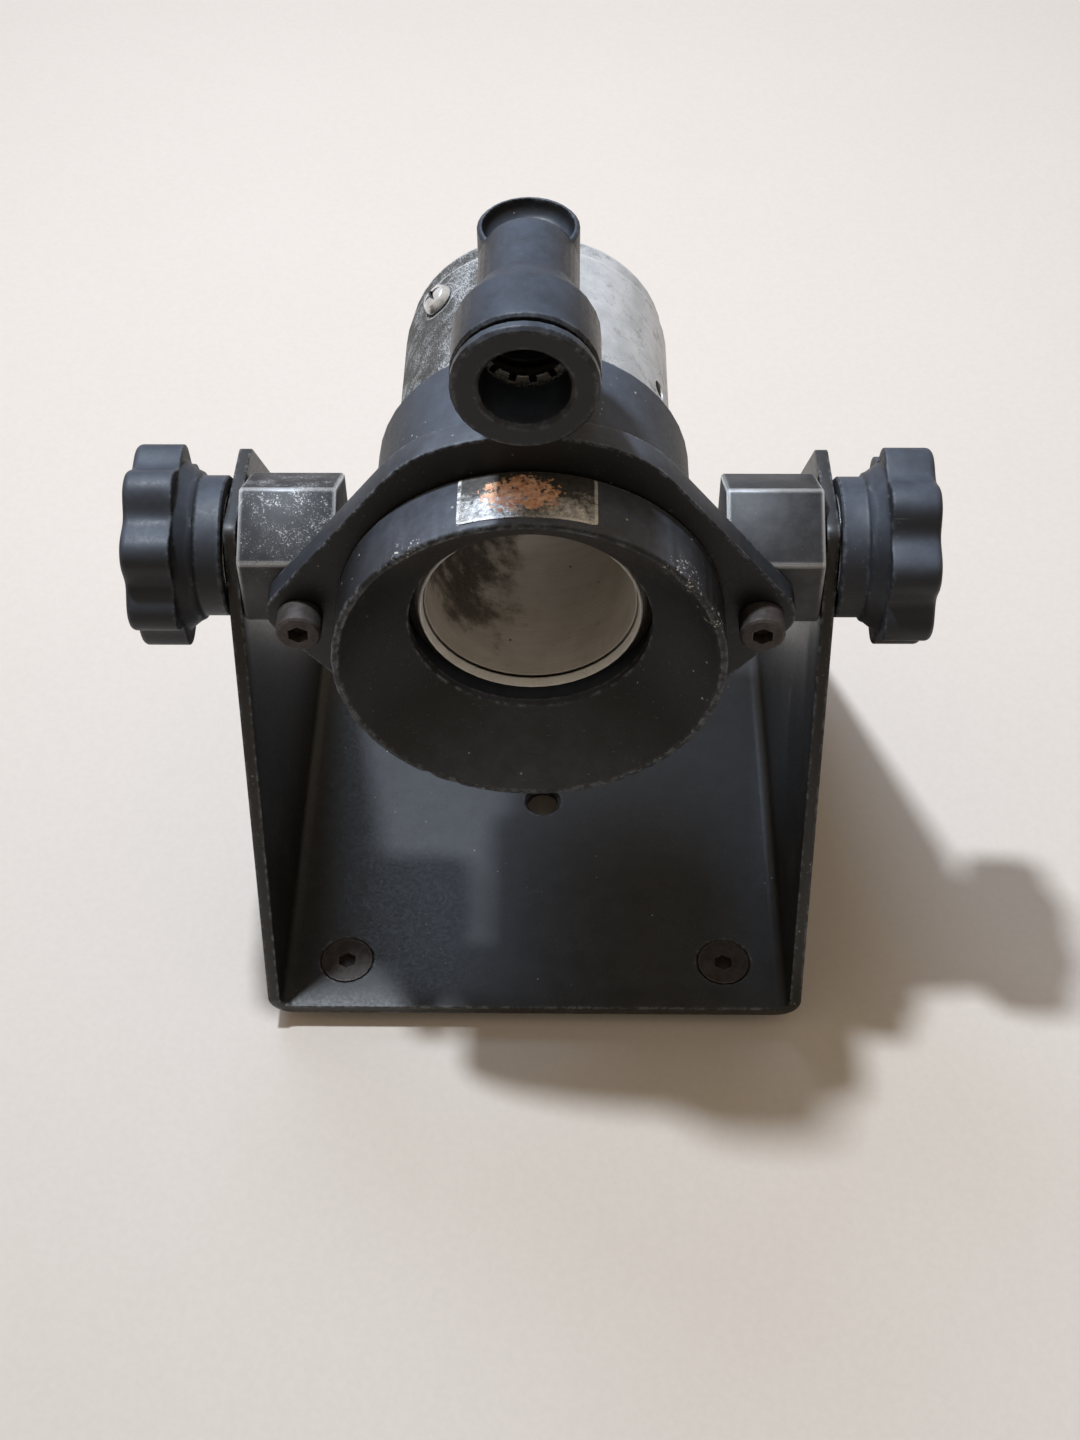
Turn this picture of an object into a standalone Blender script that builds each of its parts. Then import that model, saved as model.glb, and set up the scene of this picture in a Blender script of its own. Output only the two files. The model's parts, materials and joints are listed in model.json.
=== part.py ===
"""Compressed-air amplifier head on a tilting U-bracket.

Metres, +Z up. The mouth faces -Y, the trunnions run along X, and the origin is on the floor
at the middle of the bracket's base. The head is modelled in its own frame: local X is along
the trunnions, local Y is up and local Z runs forward along the bore, out of the mouth.
"""

import math

import bmesh
import bpy
from mathutils import Matrix, Vector

# Running gap between pieces that touch.
GAP = 0.0003

# Bracket, a bent sheet-metal U on four low rubber feet.
FOOT_HEIGHT = 0.003
FOOT_RADIUS = 0.0065
SHEET = 0.002
BASE_WIDTH = 0.094
BASE_DEPTH = 0.094
BEND_RADIUS = 0.0042
EAR_FRONT_TOP = (0.028, 0.091)
EAR_APEX = (0.0493, 0.0890)
EAR_REAR_KNEE = 0.0295
EAR_CORNER_RADIUS = 0.0022
CENTRE_HOLE_RADIUS = 0.0030
CENTRE_HOLE_X = 0.001
BASE_SCREW_INSET = (0.013, 0.010)
COUNTERSINK_RADIUS = 0.0050

# Tilt axis, measured from the floor and from the middle of the base.
TRUNNION_Y = -0.013
TRUNNION_Z = 0.085
TRUNNION_FLATS = 0.0210
TRUNNION_INNER_X = 0.0298
STUD_RADIUS = 0.003
STUD_TIP_X = 0.0345

# Head pieces. Stations are forward of the tilt axis.
MOUTH_FRONT = 0.0265
MOUTH_BACK = 0.0156
MOUTH_RADIUS = 0.0294
MOUTH_THROAT_RADIUS = 0.0185
MOUTH_THROAT_FRONT = 0.0170
FLANGE_FRONT = 0.0152
FLANGE_BACK = 0.0108
FLANGE_TOP_RADIUS = 0.0353
FLANGE_BORE_RADIUS = 0.0211
EAR_SCREW_X = 0.0350
EAR_END_RADIUS = 0.0053
EAR_SLOPE = math.radians(38)
EAR_BLEND_RADIUS = 0.020
HOUSING_RADIUS = 0.0252
HOUSING_REAR = -0.0185
BORE_RADIUS = 0.0161
TUBE_RADIUS = 0.0183
TUBE_TIP_RADIUS = 0.0175
NOZZLE_LIP_RADIUS = 0.0171
AIR_SLOT = 0.0004
SLEEVE_RADIUS = 0.0225
SLEEVE_REAR = -0.048
COLLAR_RADIUS = 0.0219
COLLAR_REAR = -0.0525
SLEEVE_SCREW_STATION = -0.042
SLEEVE_SCREW_ANGLES = (-45, 135)
SET_SCREW_STATION = -0.0272
SET_SCREW_ANGLE = 66

# Push-in elbow for a 12 mm hose.
PORT_STATION = -0.008
SEAT_HEIGHT = 0.0235
LEG_HEIGHT = 0.0501
ELBOW_RADIUS = 0.0072
ELBOW_TOP = 0.0537
ELBOW_BARREL_RADIUS = 0.0070
SOCKET_RADIUS = 0.0100
SOCKET_FRONT = 0.0290
RELEASE_TRAVEL = 0.0010
HOSE_RADIUS = 0.006

# Knobs, counted outward from the middle of the bracket.
WASHER_THICKNESS = 0.0005
WASHER_RADIUS = 0.0085
HUB_RADIUS = 0.011
HUB_LENGTH = 0.0042
KNOB_RADIUS = 0.0158
KNOB_LOBE_DEPTH = 0.0022
KNOB_LOBES = 8
KNOB_THICKNESS = 0.0102
KNOB_TAPER = 0.0025
KNOB_TAPER_RADIUS = 0.0133

# Smoothness of round pieces.
LARGE_STEPS = 48
MEDIUM_STEPS = 32
SMALL_STEPS = 20


def clear_scene():
    """Empty the scene and drop unused data, so that a second run gives the same names."""
    for obj in list(bpy.data.objects):
        bpy.data.objects.remove(obj, do_unlink=True)
    for coll in list(bpy.data.collections):
        bpy.data.collections.remove(coll)
    bpy.ops.outliner.orphans_purge(do_recursive=True)


def new_collection(name):
    coll = bpy.data.collections.new(name)
    bpy.context.scene.collection.children.link(coll)
    return coll


clear_scene()
PARTS = new_collection("air_amplifier_on_bracket")
TOOLS = new_collection("cutters")


def material(name, color, roughness, metallic):
    mat = bpy.data.materials.new(name)
    mat.use_nodes = True
    shader = mat.node_tree.nodes["Principled BSDF"]
    shader.inputs["Base Color"].default_value = (*color, 1.0)
    shader.inputs["Roughness"].default_value = roughness
    shader.inputs["Metallic"].default_value = metallic
    return mat


# ---------------------------------------------------------------- placing and joining

def shift(x=0.0, y=0.0, z=0.0):
    return Matrix.Translation((x, y, z))


def turn(degrees, axis):
    return Matrix.Rotation(math.radians(degrees), 4, axis)


def empty(name, matrix, parent=None):
    """A pivot: it has no shape and carries the pieces that move with it."""
    obj = bpy.data.objects.new(name, None)
    obj.empty_display_size = 0.01
    PARTS.objects.link(obj)
    obj.parent = parent
    obj.matrix_basis = matrix
    return obj


def add_piece(name, mesh, mat, parent=None, matrix=Matrix()):
    obj = bpy.data.objects.new(name, mesh)
    mesh.name = name
    mesh.materials.append(mat)
    PARTS.objects.link(obj)
    obj.parent = parent
    obj.matrix_basis = matrix
    return obj


def add_tool(name, mesh, parent=None, matrix=Matrix()):
    """A cutter or a joined-on body. It is never part of the model itself."""
    obj = bpy.data.objects.new(name, mesh)
    TOOLS.objects.link(obj)
    obj.parent = parent
    obj.matrix_basis = matrix
    obj.hide_render = True
    obj.display_type = "WIRE"
    return obj


def combine(obj, tool, operation="DIFFERENCE"):
    mod = obj.modifiers.new(f"{operation.lower()}_{tool.name}", "BOOLEAN")
    mod.operation = operation
    mod.solver = "EXACT"
    mod.object = tool


def bevel(obj, width, segments=1, angle=35):
    mod = obj.modifiers.new("bevel", "BEVEL")
    mod.width = width
    mod.segments = segments
    mod.limit_method = "ANGLE"
    mod.angle_limit = math.radians(angle)
    mod.use_clamp_overlap = True


# ---------------------------------------------------------------- shapes

def profile_mesh(name, profile):
    """A closed outline of (radius, height) points, or an open one that starts and ends on the axis."""
    mesh = bpy.data.meshes.new(name)
    verts = [(radius, 0.0, height) for radius, height in profile]
    edges = [(i, i + 1) for i in range(len(verts) - 1)]
    on_axis = profile[0][0] == 0.0 and profile[-1][0] == 0.0
    if not on_axis:
        edges.append((len(verts) - 1, 0))
    mesh.from_pydata(verts, edges, [])
    return mesh


def spin(obj, steps):
    """Turn the profile round local Z. The outer side of the profile runs down."""
    mod = obj.modifiers.new("turned", "SCREW")
    mod.axis = "Z"
    mod.angle = 2 * math.pi
    mod.steps = steps
    mod.render_steps = steps
    mod.use_merge_vertices = True
    mod.merge_threshold = 1e-6
    mod.use_smooth_shade = True


def turned(name, profile, mat, parent=None, matrix=Matrix(), steps=MEDIUM_STEPS):
    obj = add_piece(name, profile_mesh(name, profile), mat, parent, matrix)
    spin(obj, steps)
    return obj


def turned_tool(name, profile, parent=None, matrix=Matrix(), steps=MEDIUM_STEPS):
    obj = add_tool(name, profile_mesh(name, profile), parent, matrix)
    spin(obj, steps)
    return obj


def ring_profile(inner, outer, top, bottom):
    return [(outer, top), (outer, bottom), (inner, bottom), (inner, top)]


def rod_profile(radius, top, bottom):
    return [(0.0, top), (radius, top), (radius, bottom), (0.0, bottom)]


def torus_profile(ring_radius, cord_radius, height, points=8):
    """A round cord, listed from its top down its outer side."""
    profile = []
    for i in range(points):
        angle = math.pi / 2 - 2 * math.pi * i / points
        profile.append((ring_radius + cord_radius * math.cos(angle),
                        height + cord_radius * math.sin(angle)))
    return profile


def cone_mesh(name, bottom_radius, top_radius, length, sides):
    """A cylinder, cone or bar along local Z, from 0 to its length."""
    bm = bmesh.new()
    bmesh.ops.create_cone(bm, cap_ends=True, segments=sides, radius1=bottom_radius,
                          radius2=top_radius, depth=length, matrix=shift(z=length / 2))
    mesh = bpy.data.meshes.new(name)
    bm.to_mesh(mesh)
    bm.free()
    return mesh


def drill(obj, name, radius, length, parent=None, matrix=Matrix(), sides=SMALL_STEPS):
    tool = add_tool(name, cone_mesh(name, radius, radius, length, sides), parent, matrix)
    combine(obj, tool)


def hex_radius(across_flats):
    return across_flats / math.sqrt(3)


def arc(centre, radius, start, end, steps):
    """Points on a circle, from one angle in degrees to another, both ends included."""
    points = []
    for i in range(steps + 1):
        angle = math.radians(start + (end - start) * i / steps)
        points.append((centre[0] + radius * math.cos(angle), centre[1] + radius * math.sin(angle)))
    return points


def rounded(corners, radius, steps=4):
    """The outline through the corners, each corner replaced by a fillet."""
    points = []
    count = len(corners)
    for i, corner in enumerate(corners):
        here = Vector(corner)
        before = (Vector(corners[i - 1]) - here).normalized()
        after = (Vector(corners[(i + 1) % count]) - here).normalized()
        half = before.angle(after) / 2
        centre = here + (before + after).normalized() * radius / math.sin(half)
        reach = radius / math.tan(half)
        first = here + before * reach - centre
        sweep = first.angle_signed(here + after * reach - centre)
        for k in range(steps + 1):
            spoke = Matrix.Rotation(-sweep * k / steps, 2) @ first
            points.append(tuple(centre + spoke))
    return points


def plate_mesh(name, outlines, thickness):
    """A flat plate in local XY, centred on its mid-plane, made from closed outlines."""
    curve = bpy.data.curves.new(name, "CURVE")
    curve.dimensions = "2D"
    curve.fill_mode = "BOTH"
    curve.extrude = thickness / 2
    for outline in outlines:
        spline = curve.splines.new("POLY")
        spline.points.add(len(outline) - 1)
        for point, (x, y) in zip(spline.points, outline):
            point.co = (x, y, 0.0, 1.0)
        spline.use_cyclic_u = True
    source = bpy.data.objects.new(name, curve)
    TOOLS.objects.link(source)
    bpy.context.view_layer.update()
    mesh = bpy.data.meshes.new_from_object(source.evaluated_get(bpy.context.evaluated_depsgraph_get()))
    bpy.data.objects.remove(source, do_unlink=True)
    bpy.data.curves.remove(curve)
    bm = bmesh.new()
    bm.from_mesh(mesh)
    bmesh.ops.remove_doubles(bm, verts=bm.verts, dist=1e-7)
    bmesh.ops.recalc_face_normals(bm, faces=bm.faces)
    bm.to_mesh(mesh)
    bm.free()
    mesh.materials.clear()
    return mesh


# ---------------------------------------------------------------- materials

BLACK_PAINT = material("black_paint", (0.025, 0.026, 0.029), 0.45, 0.0)
BLACK_ANODISED = material("black_anodised", (0.022, 0.022, 0.024), 0.5, 0.3)
BLACK_PLASTIC = material("black_plastic", (0.018, 0.018, 0.020), 0.4, 0.0)
KNOB_PLASTIC = material("knob_plastic", (0.030, 0.031, 0.035), 0.55, 0.0)
DULL_ALUMINIUM = material("dull_aluminium", (0.62, 0.62, 0.60), 0.45, 1.0)
DARK_STEEL = material("dark_steel", (0.11, 0.075, 0.065), 0.6, 0.8)
BRIGHT_STEEL = material("bright_steel", (0.62, 0.62, 0.64), 0.25, 1.0)
BRASS = material("brass", (0.60, 0.46, 0.22), 0.35, 1.0)
RUBBER = material("rubber", (0.012, 0.012, 0.012), 0.8, 0.0)
FOIL = material("foil", (0.48, 0.47, 0.44), 0.4, 0.9)


# ---------------------------------------------------------------- bracket

def bracket_section():
    """The U in local XY, X across and Y up from the underside of the base."""
    half = BASE_WIDTH / 2
    height = EAR_FRONT_TOP[1] + 0.005
    inner_half = half - SHEET
    inner_bend = BEND_RADIUS - SHEET
    left = half - BEND_RADIUS
    outline = [(half, height)]
    outline += arc((left, BEND_RADIUS), BEND_RADIUS, 0, -90, 6)
    outline += arc((-left, BEND_RADIUS), BEND_RADIUS, -90, -180, 6)
    outline += [(-half, height), (-inner_half, height)]
    outline += arc((-left, BEND_RADIUS), inner_bend, 180, 270, 6)
    outline += arc((left, BEND_RADIUS), inner_bend, -90, 0, 6)
    outline += [(inner_half, height)]
    return outline


def ear_outline():
    """The bracket seen from its side: X is backward from the front edge, Y is up."""
    below = -0.001
    foot = 2 * SHEET
    corners = [(0.0, foot), EAR_FRONT_TOP, EAR_APEX, (BASE_DEPTH, EAR_REAR_KNEE), (BASE_DEPTH, below)]
    steps = 4
    upper = rounded(corners, EAR_CORNER_RADIUS, steps)[steps + 1:-steps - 1]
    return [(0.0, below), corners[0]] + upper + [corners[-1]]


def base_screw_spots():
    """Name and place of each corner screw."""
    x = BASE_WIDTH / 2 - BASE_SCREW_INSET[0]
    y = BASE_DEPTH / 2 - BASE_SCREW_INSET[1]
    return [("front_left", -x, -y), ("front_right", x, -y), ("rear_left", -x, y), ("rear_right", x, y)]


def make_bracket():
    upright = shift(z=FOOT_HEIGHT) @ turn(90, "X")
    mesh = plate_mesh("bracket", [bracket_section()], BASE_DEPTH)
    obj = add_piece("bracket", mesh, BLACK_PAINT, None, upright)
    sideways = shift(y=-BASE_DEPTH / 2, z=FOOT_HEIGHT) @ turn(90, "Z") @ turn(90, "X")
    side = plate_mesh("ear_silhouette", [ear_outline()], BASE_WIDTH + 0.01)
    combine(obj, add_tool("ear_silhouette", side, None, sideways), "INTERSECT")
    bevel(obj, 0.0006, 2)
    pivot = shift(-BASE_WIDTH, TRUNNION_Y, TRUNNION_Z) @ turn(90, "Y")
    drill(obj, "pivot_drill", STUD_RADIUS + GAP, 2 * BASE_WIDTH, None, pivot)
    top = FOOT_HEIGHT + SHEET
    drill(obj, "centre_drill", CENTRE_HOLE_RADIUS, 0.01, None, shift(CENTRE_HOLE_X, 0.0, -0.001))
    width = 0.0012
    chamfer = cone_mesh("centre_chamfer", CENTRE_HOLE_RADIUS, CENTRE_HOLE_RADIUS + width, width, SMALL_STEPS)
    combine(obj, add_tool("centre_chamfer", chamfer, None, shift(CENTRE_HOLE_X, 0.0, top - 0.0006)))
    for name, x, y in base_screw_spots():
        sink = cone_mesh(f"sink_{name}", COUNTERSINK_RADIUS - SHEET - 0.0005, COUNTERSINK_RADIUS + 0.0005,
                         SHEET + 0.001, SMALL_STEPS)
        combine(obj, add_tool(f"sink_{name}", sink, None, shift(x, y, FOOT_HEIGHT - 0.0005)))
    return obj


def make_feet_and_screws():
    """Rubber feet under the corners, each held by a countersunk screw."""
    top = FOOT_HEIGHT + SHEET - 0.0001
    head = COUNTERSINK_RADIUS - 0.0004
    shank = 0.0024
    foot = [(FOOT_RADIUS - 0.0005, FOOT_HEIGHT - 0.00025), (FOOT_RADIUS, 0.0004),
            (FOOT_RADIUS - 0.0004, 0.0), (0.0, 0.0)]
    well = [(0.0, 0.0005), (shank + GAP, 0.0005), (shank + GAP, FOOT_HEIGHT - 0.0007),
            (shank + 0.0007, FOOT_HEIGHT - 0.00025)]
    screw = [(0.0, top), (head, top), (shank, top - (head - shank)), (shank, 0.0009), (0.0, 0.0009)]
    for name, x, y in base_screw_spots():
        turned(f"foot_{name}", foot_outline(foot, well), RUBBER, None, shift(x, y), SMALL_STEPS)
        obj = turned(f"base_screw_{name}", screw, DARK_STEEL, None, shift(x, y), SMALL_STEPS)
        drill(obj, f"base_hex_{name}", hex_radius(0.003), 0.003, None, shift(x, y, top - 0.0015), 6)


def foot_outline(outside, inside):
    """Down the outer side, across the floor to the axis, and up the inner well."""
    return [(0.0, inside[0][1])] + inside[1:] + outside


# ---------------------------------------------------------------- head, turned pieces

def mouth_profile():
    """The ring from its front edge down its outer side and back up the concave cone."""
    profile = [(MOUTH_RADIUS - 0.0004, MOUTH_FRONT), (MOUTH_RADIUS, MOUTH_FRONT - 0.0004),
               (MOUTH_RADIUS, MOUTH_BACK), (MOUTH_THROAT_RADIUS, MOUTH_BACK)]
    lip = MOUTH_RADIUS - 0.0010
    steps = 5
    for i in range(steps + 1):
        part = i / steps
        bulge = 0.0007 * math.sin(math.pi * part)
        radius = MOUTH_THROAT_RADIUS + (lip - MOUTH_THROAT_RADIUS) * part + bulge
        profile.append((radius, MOUTH_THROAT_FRONT + (MOUTH_FRONT - MOUTH_THROAT_FRONT) * part))
    return profile


def flange_outline():
    """Round top and bottom that run softly into straight slopes, and a round ear at each side."""
    slope = math.degrees(EAR_SLOPE)
    reach = EAR_SCREW_X * math.cos(EAR_SLOPE) + EAR_END_RADIUS
    inset = FLANGE_TOP_RADIUS - EAR_BLEND_RADIUS
    meeting = slope + math.degrees(math.acos((reach - EAR_BLEND_RADIUS) / inset))
    centre = (inset * math.cos(math.radians(meeting)), inset * math.sin(math.radians(meeting)))
    quarter = arc((EAR_SCREW_X, 0.0), EAR_END_RADIUS, 0, slope, 4)
    quarter += arc(centre, EAR_BLEND_RADIUS, slope, meeting, 4)
    quarter += arc((0.0, 0.0), FLANGE_TOP_RADIUS, meeting, 90, 3)[1:]
    upper = quarter + [(-x, y) for x, y in reversed(quarter[:-1])]
    lower = [(x, -y) for x, y in reversed(upper[1:-1])]
    return upper + lower


def make_flange(head):
    thickness = FLANGE_FRONT - FLANGE_BACK
    mesh = plate_mesh("mounting_flange", [flange_outline()], thickness)
    obj = add_piece("mounting_flange", mesh, BLACK_ANODISED, head, shift(z=(FLANGE_FRONT + FLANGE_BACK) / 2))
    bevel(obj, 0.0017, 3, 50)
    drill(obj, "flange_bore", FLANGE_BORE_RADIUS, 0.01, head, shift(z=FLANGE_BACK - 0.003), LARGE_STEPS)
    for side in (-1, 1):
        drill(obj, f"flange_hole_{side}", 0.0020 + GAP, 0.01, head,
              shift(side * EAR_SCREW_X, 0.0, FLANGE_BACK - 0.003))
    return obj


def housing_profile():
    """The housing round its air chamber, with a spigot that centres the flange."""
    spigot = FLANGE_BORE_RADIUS - GAP
    front = FLANGE_BACK - GAP
    bore = TUBE_RADIUS + 0.0004
    outside = [(spigot, FLANGE_FRONT - 0.0002), (spigot, front), (HOUSING_RADIUS - 0.0006, front),
               (HOUSING_RADIUS, front - 0.0006), (HOUSING_RADIUS, HOUSING_REAR + 0.0008),
               (HOUSING_RADIUS - 0.0008, HOUSING_REAR)]
    rear_seal = [(bore, HOUSING_REAR), (bore, -0.0180), (0.0202, -0.0180), (0.0202, -0.0162),
                 (bore, -0.0162)]
    chamber = [(bore, -0.0145), (0.0220, -0.0130), (0.0220, 0.0015), (bore, 0.0030)]
    front_seal = [(bore, 0.0050), (0.0202, 0.0050), (0.0202, 0.0068), (bore, 0.0068)]
    shoulder = [(bore, 0.0090), (0.0195, 0.0090), (0.0195, FLANGE_FRONT - 0.0002)]
    return outside + rear_seal + chamber + front_seal + shoulder


def port_frame():
    """The elbow's axis: local Z runs up, away from the bore, and starts on the bore's axis."""
    return shift(z=PORT_STATION) @ turn(-90, "X")


def make_housing(head):
    obj = turned("body_housing", housing_profile(), BLACK_ANODISED, head, Matrix(), LARGE_STEPS)
    seat = port_frame() @ shift(z=SEAT_HEIGHT)
    drill(obj, "port_seat", 0.0106, 0.01, head, seat, MEDIUM_STEPS)
    drill(obj, "port_drill", 0.0061 + GAP, 0.01, head, port_frame() @ shift(z=0.0205), SMALL_STEPS)
    return obj


def make_bore_pieces(head):
    """The pieces that line the bore and make the thin ring of driving air.

    The air runs forward between the tube's thin tip and the nozzle's sleeve, and leaves
    through the slot behind the nozzle's lip.
    """
    sleeve = TUBE_TIP_RADIUS + AIR_SLOT
    lip = [(NOZZLE_LIP_RADIUS - 0.0006, 0.0129), (NOZZLE_LIP_RADIUS - 0.0004, 0.0144),
           (NOZZLE_LIP_RADIUS - 0.0003, 0.0146), (NOZZLE_LIP_RADIUS, 0.0143), (NOZZLE_LIP_RADIUS, 0.0129)]
    nozzle = lip + [(0.0188, 0.0125), (0.0191, 0.0122), (0.0191, 0.0098), (TUBE_RADIUS, 0.0098),
                    (TUBE_RADIUS, 0.0040), (sleeve, 0.0040), (sleeve, 0.0119)]
    turned("nozzle_ring", nozzle, DULL_ALUMINIUM, head, Matrix(), LARGE_STEPS)
    turned("gap_shim", ring_profile(0.0187, 0.0192, 0.0096, 0.0093), BRASS, head, Matrix(), MEDIUM_STEPS)
    tube = [(TUBE_TIP_RADIUS - 0.0001, 0.0117), (TUBE_TIP_RADIUS, 0.0113), (TUBE_TIP_RADIUS, 0.0030),
            (TUBE_RADIUS, 0.0022), (TUBE_RADIUS, -0.0518), (TUBE_RADIUS - 0.0004, -0.0522),
            (BORE_RADIUS + 0.0004, -0.0522), (BORE_RADIUS, -0.0518), (BORE_RADIUS, 0.0124),
            (BORE_RADIUS + 0.0001, 0.0126)]
    turned("inner_tube", tube, DULL_ALUMINIUM, head, Matrix(), LARGE_STEPS)
    turned("o_ring_front", torus_profile(0.0193, 0.0006, 0.0059), RUBBER, head, Matrix(), MEDIUM_STEPS)
    turned("o_ring_rear", torus_profile(0.0193, 0.0006, -0.0171), RUBBER, head, Matrix(), MEDIUM_STEPS)


def radial_frame(station, degrees, radius):
    """A spot on a round surface: local Z points straight out. Degrees run right from the top."""
    return shift(z=station) @ turn(-degrees, "Z") @ turn(-90, "X") @ shift(z=radius)


def make_rear(head):
    """The aluminium sleeve, its screws, and the outlet collar."""
    inner = TUBE_RADIUS + GAP
    front = HOUSING_REAR - GAP
    chamfer = 0.0005
    sleeve_profile = [(SLEEVE_RADIUS - chamfer, front), (SLEEVE_RADIUS, front - chamfer),
                      (SLEEVE_RADIUS, SLEEVE_REAR + chamfer), (SLEEVE_RADIUS - chamfer, SLEEVE_REAR),
                      (inner, SLEEVE_REAR), (inner, front)]
    sleeve = turned("rear_sleeve", sleeve_profile, DULL_ALUMINIUM, head, Matrix(), LARGE_STEPS)
    seat_radius = SLEEVE_RADIUS - 0.0003
    for number, angle in enumerate(SLEEVE_SCREW_ANGLES, start=1):
        spot = radial_frame(SLEEVE_SCREW_STATION, angle, seat_radius)
        drill(sleeve, f"screw_spot_{number}", 0.0034, 0.002, head, spot)
        drill(sleeve, f"screw_drill_{number}", 0.0015 + GAP, 0.006, head, spot @ shift(z=-0.005), 16)
        make_pan_screw(number, head, spot)
    set_spot = radial_frame(SET_SCREW_STATION, SET_SCREW_ANGLE, SLEEVE_RADIUS - 0.0034)
    drill(sleeve, "set_screw_drill", 0.0017, 0.006, head, set_spot @ shift(z=-0.0005), 16)
    set_screw = turned("set_screw", rod_profile(0.0014, 0.0026, 0.0003), DARK_STEEL, head, set_spot, 16)
    drill(set_screw, "set_screw_hex", hex_radius(0.0013), 0.002, head, set_spot @ shift(z=0.0013), 6)
    collar = [(COLLAR_RADIUS, SLEEVE_REAR - GAP), (COLLAR_RADIUS, COLLAR_REAR + 0.0008),
              (COLLAR_RADIUS - 0.0008, COLLAR_REAR), (inner, COLLAR_REAR), (inner, SLEEVE_REAR - GAP)]
    turned("rear_collar", collar, DULL_ALUMINIUM, head, Matrix(), LARGE_STEPS)


def make_pan_screw(number, head, spot):
    """A pan head with a cross recess, standing on its spot face."""
    radius = 0.0028
    height = 0.0020
    lift = 0.0002
    profile = [(0.0, height + lift), (radius * 0.45, height + lift - 0.0001),
               (radius * 0.82, height * 0.72 + lift), (radius, height * 0.28 + lift), (radius, lift),
               (0.0015, lift), (0.0015, -0.0029), (0.0, -0.0029)]
    obj = turned(f"sleeve_screw_{number}", profile, BRIGHT_STEEL, head, spot, SMALL_STEPS)
    for arm in (0, 90):
        blade = cone_mesh(f"cross_{number}_{arm}", 0.0019, 0.0023, 0.002, 4)
        squash = Matrix.Diagonal((1.0, 0.28, 1.0, 1.0))
        blade.transform(turn(arm + 20, "Z") @ squash)
        combine(obj, add_tool(blade.name, blade, head, spot @ shift(z=lift + 0.0009)))
    return obj


def make_label(head):
    """A foil label bent round the top of the mouth ring."""
    width = 0.0200
    depth = 0.0093
    thickness = 0.0001
    radius = MOUTH_RADIUS + 0.0001
    half_angle = width / 2 / radius
    rear = MOUTH_BACK + 0.0003
    steps = 12
    bm = bmesh.new()
    rows = []
    for i in range(steps + 1):
        angle = -half_angle + 2 * half_angle * i / steps
        side = (radius * math.sin(angle), radius * math.cos(angle))
        rows.append([bm.verts.new((*side, rear)), bm.verts.new((*side, rear + depth))])
    for near, far in zip(rows, rows[1:]):
        bm.faces.new((near[0], near[1], far[1], far[0]))
    bmesh.ops.recalc_face_normals(bm, faces=bm.faces)
    mesh = bpy.data.meshes.new("label")
    bm.to_mesh(mesh)
    bm.free()
    obj = add_piece("label", mesh, FOIL, head)
    mod = obj.modifiers.new("foil", "SOLIDIFY")
    mod.thickness = thickness
    mod.offset = 1.0
    return obj


# ---------------------------------------------------------------- trunnions, knobs

def outward(side):
    """A frame on the tilt axis with local Z pointing out of the bracket on one side."""
    return turn(90 * side, "Y")


def make_trunnion(side, word, head):
    """A hexagonal block, corners up and down, screwed to the back of the flange's ear."""
    outer_x = BASE_WIDTH / 2 - SHEET - GAP
    length = outer_x - TRUNNION_INNER_X
    frame = outward(side)
    mesh = cone_mesh(f"trunnion_{word}", hex_radius(TRUNNION_FLATS), hex_radius(TRUNNION_FLATS), length, 6)
    obj = add_piece(f"trunnion_{word}", mesh, BLACK_ANODISED, head, frame @ shift(z=TRUNNION_INNER_X))
    bevel(obj, 0.0004)
    drill(obj, f"stud_drill_{word}", STUD_RADIUS + GAP, 0.02, head, frame @ shift(z=STUD_TIP_X - 0.0008))
    drill(obj, f"ear_screw_drill_{word}", 0.0020 + GAP, 0.02, head, shift(side * EAR_SCREW_X, 0.0, 0.0042))
    return obj


def make_ear_screw(side, word, head):
    """A socket head cap screw through the flange's ear."""
    seat = FLANGE_FRONT + GAP
    top = seat + 0.004
    radius = 0.0035
    profile = [(0.0, top), (radius - 0.0004, top), (radius, top - 0.0004), (radius, seat), (0.0020, seat),
               (0.0020, 0.0046), (0.0, 0.0046)]
    obj = turned(f"flange_screw_{word}", profile, DARK_STEEL, head, shift(x=side * EAR_SCREW_X), SMALL_STEPS)
    drill(obj, f"ear_screw_hex_{word}", hex_radius(0.003), 0.004, head,
          shift(side * EAR_SCREW_X, 0.0, top - 0.0022), 6)
    return obj


def knob_outline():
    """Shallow hollows between broad lobes."""
    count = KNOB_LOBES * 8
    points = []
    for i in range(count):
        angle = 2 * math.pi * i / count
        wave = 0.5 + 0.5 * math.cos(KNOB_LOBES * angle)
        radius = KNOB_RADIUS - KNOB_LOBE_DEPTH * (1 - wave) ** 1.2
        points.append((radius * math.cos(angle), radius * math.sin(angle)))
    return points


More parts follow.
